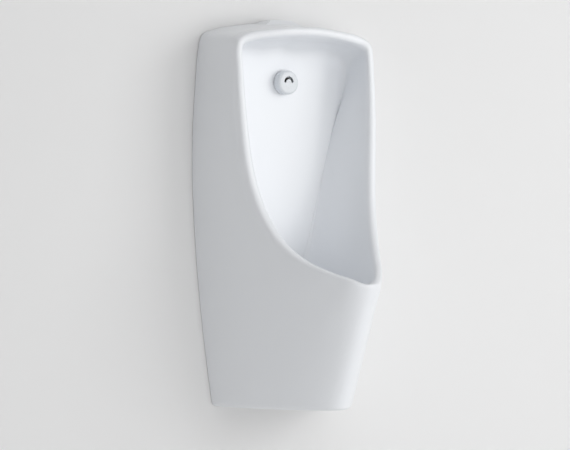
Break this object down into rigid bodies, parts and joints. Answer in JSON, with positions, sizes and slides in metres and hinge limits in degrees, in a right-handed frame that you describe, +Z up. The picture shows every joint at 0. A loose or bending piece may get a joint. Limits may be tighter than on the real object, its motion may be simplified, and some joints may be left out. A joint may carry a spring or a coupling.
{
  "type": "wall hung urinal",
  "caption": "White glazed wall hung urinal with a deep scooped bowl, a round spray cap, and its flush valve, trap, sensor and wall bracket behind.",
  "frame": {"origin": "on the wall, at the middle of the foot of the ceramic's back", "axes": "+X to the right seen from the front, -Y out of the wall towards the user, +Z up"},
  "size_m": [0.342, 0.3508, 0.7],
  "materials": {
    "white_glaze": "gloss",
    "white_cap": "gloss",
    "white_plastic": "satin",
    "black_rubber": "matte",
    "raw_brass": "satin",
    "plain_steel": "brushed",
    "bright_chrome": "polished",
    "grey_plastic": "matte",
    "black_plastic": "matte",
    "steel_braid": "satin",
    "copper_winding": "satin",
    "green_board": "gloss",
    "cell_sleeve": "gloss",
    "disc_ceramic": "matte"
  },
  "bodies": {
    "hung_body": {"ceramic_body": "white_glaze", "spray_cap": "white_cap", "sensor_case": "white_plastic", "sensor_lid": "white_plastic", "control_case": "white_plastic", "trap_body": "white_plastic", "trap_nut": "white_plastic", "outlet_pipe": "white_plastic", "outlet_nut": "white_plastic", "waste_nut": "white_plastic", "spray_gasket": "black_rubber", "diaphragm": "black_rubber", "waste_seal": "black_rubber", "trap_seal": "black_rubber", "outlet_seal": "black_rubber", "hook_pads": "black_rubber", "spindle_seal": "black_rubber", "waste_washer": "black_rubber", "spray_body": "raw_brass", "spray_nut": "raw_brass", "spray_elbow": "raw_brass", "check_seat": "raw_brass", "valve_body": "raw_brass", "inlet_union_nut": "raw_brass", "packing_nut": "raw_brass", "hose_nuts": "raw_brass", "spray_washer": "plain_steel", "check_spring": "plain_steel", "plunger_spring": "plain_steel", "bonnet_screws": "plain_steel", "coil_nut": "plain_steel", "inlet_filter": "plain_steel", "wall_bracket": "plain_steel", "waste_flange": "bright_chrome", "waste_rosette": "bright_chrome", "stop_valve_body": "bright_chrome", "stop_rosette": "bright_chrome", "valve_bonnet": "grey_plastic", "rail_bushes": "grey_plastic", "coil_case": "black_plastic", "sensor_cable": "black_plastic", "valve_cable": "black_plastic", "flush_hose": "steel_braid", "solenoid_coil": "copper_winding", "sensor_board": "green_board", "control_board": "green_board", "fixed_disc": "disc_ceramic"},
    "plunger": {"plunger": "plain_steel"},
    "poppet": {"check_poppet": "grey_plastic"},
    "handle": {"stop_spindle": "plain_steel", "stop_handle": "bright_chrome", "handle_screw": "plain_steel"},
    "insert": {"strainer": "bright_chrome", "trap_insert": "white_plastic", "insert_seal_ring": "black_rubber"},
    "tray": {"battery_tray": "white_plastic", "batteries": "cell_sleeve"}
  },
  "joints": [
    {"name": "plunger_slide", "type": "slide", "parent": "hung_body", "child": "plunger", "axis": [0, -1, 0], "range_m": [0, 0.003], "stiffness_N_per_m": 300, "springref_m": -0.004, "deforming": ["plunger_spring", "diaphragm"]},
    {"name": "poppet_slide", "type": "slide", "parent": "hung_body", "child": "poppet", "axis": [0, 0, 1], "range_m": [0, 0.003], "stiffness_N_per_m": 120, "springref_m": -0.003, "deforming": ["check_spring"]},
    {"name": "handle_turn", "type": "hinge", "parent": "hung_body", "child": "handle", "pos_m": [0.098, -0.057, 0.158], "axis": [0, -1, 0], "range_deg": [0, 90]},
    {"name": "insert_lift", "type": "slide", "parent": "hung_body", "child": "insert", "axis": [0, 0, 1], "range_m": [0, 0.15]},
    {"name": "battery_slide", "type": "slide", "parent": "hung_body", "child": "tray", "axis": [0, 0, -1], "range_m": [0, 0.065]}
  ]
}
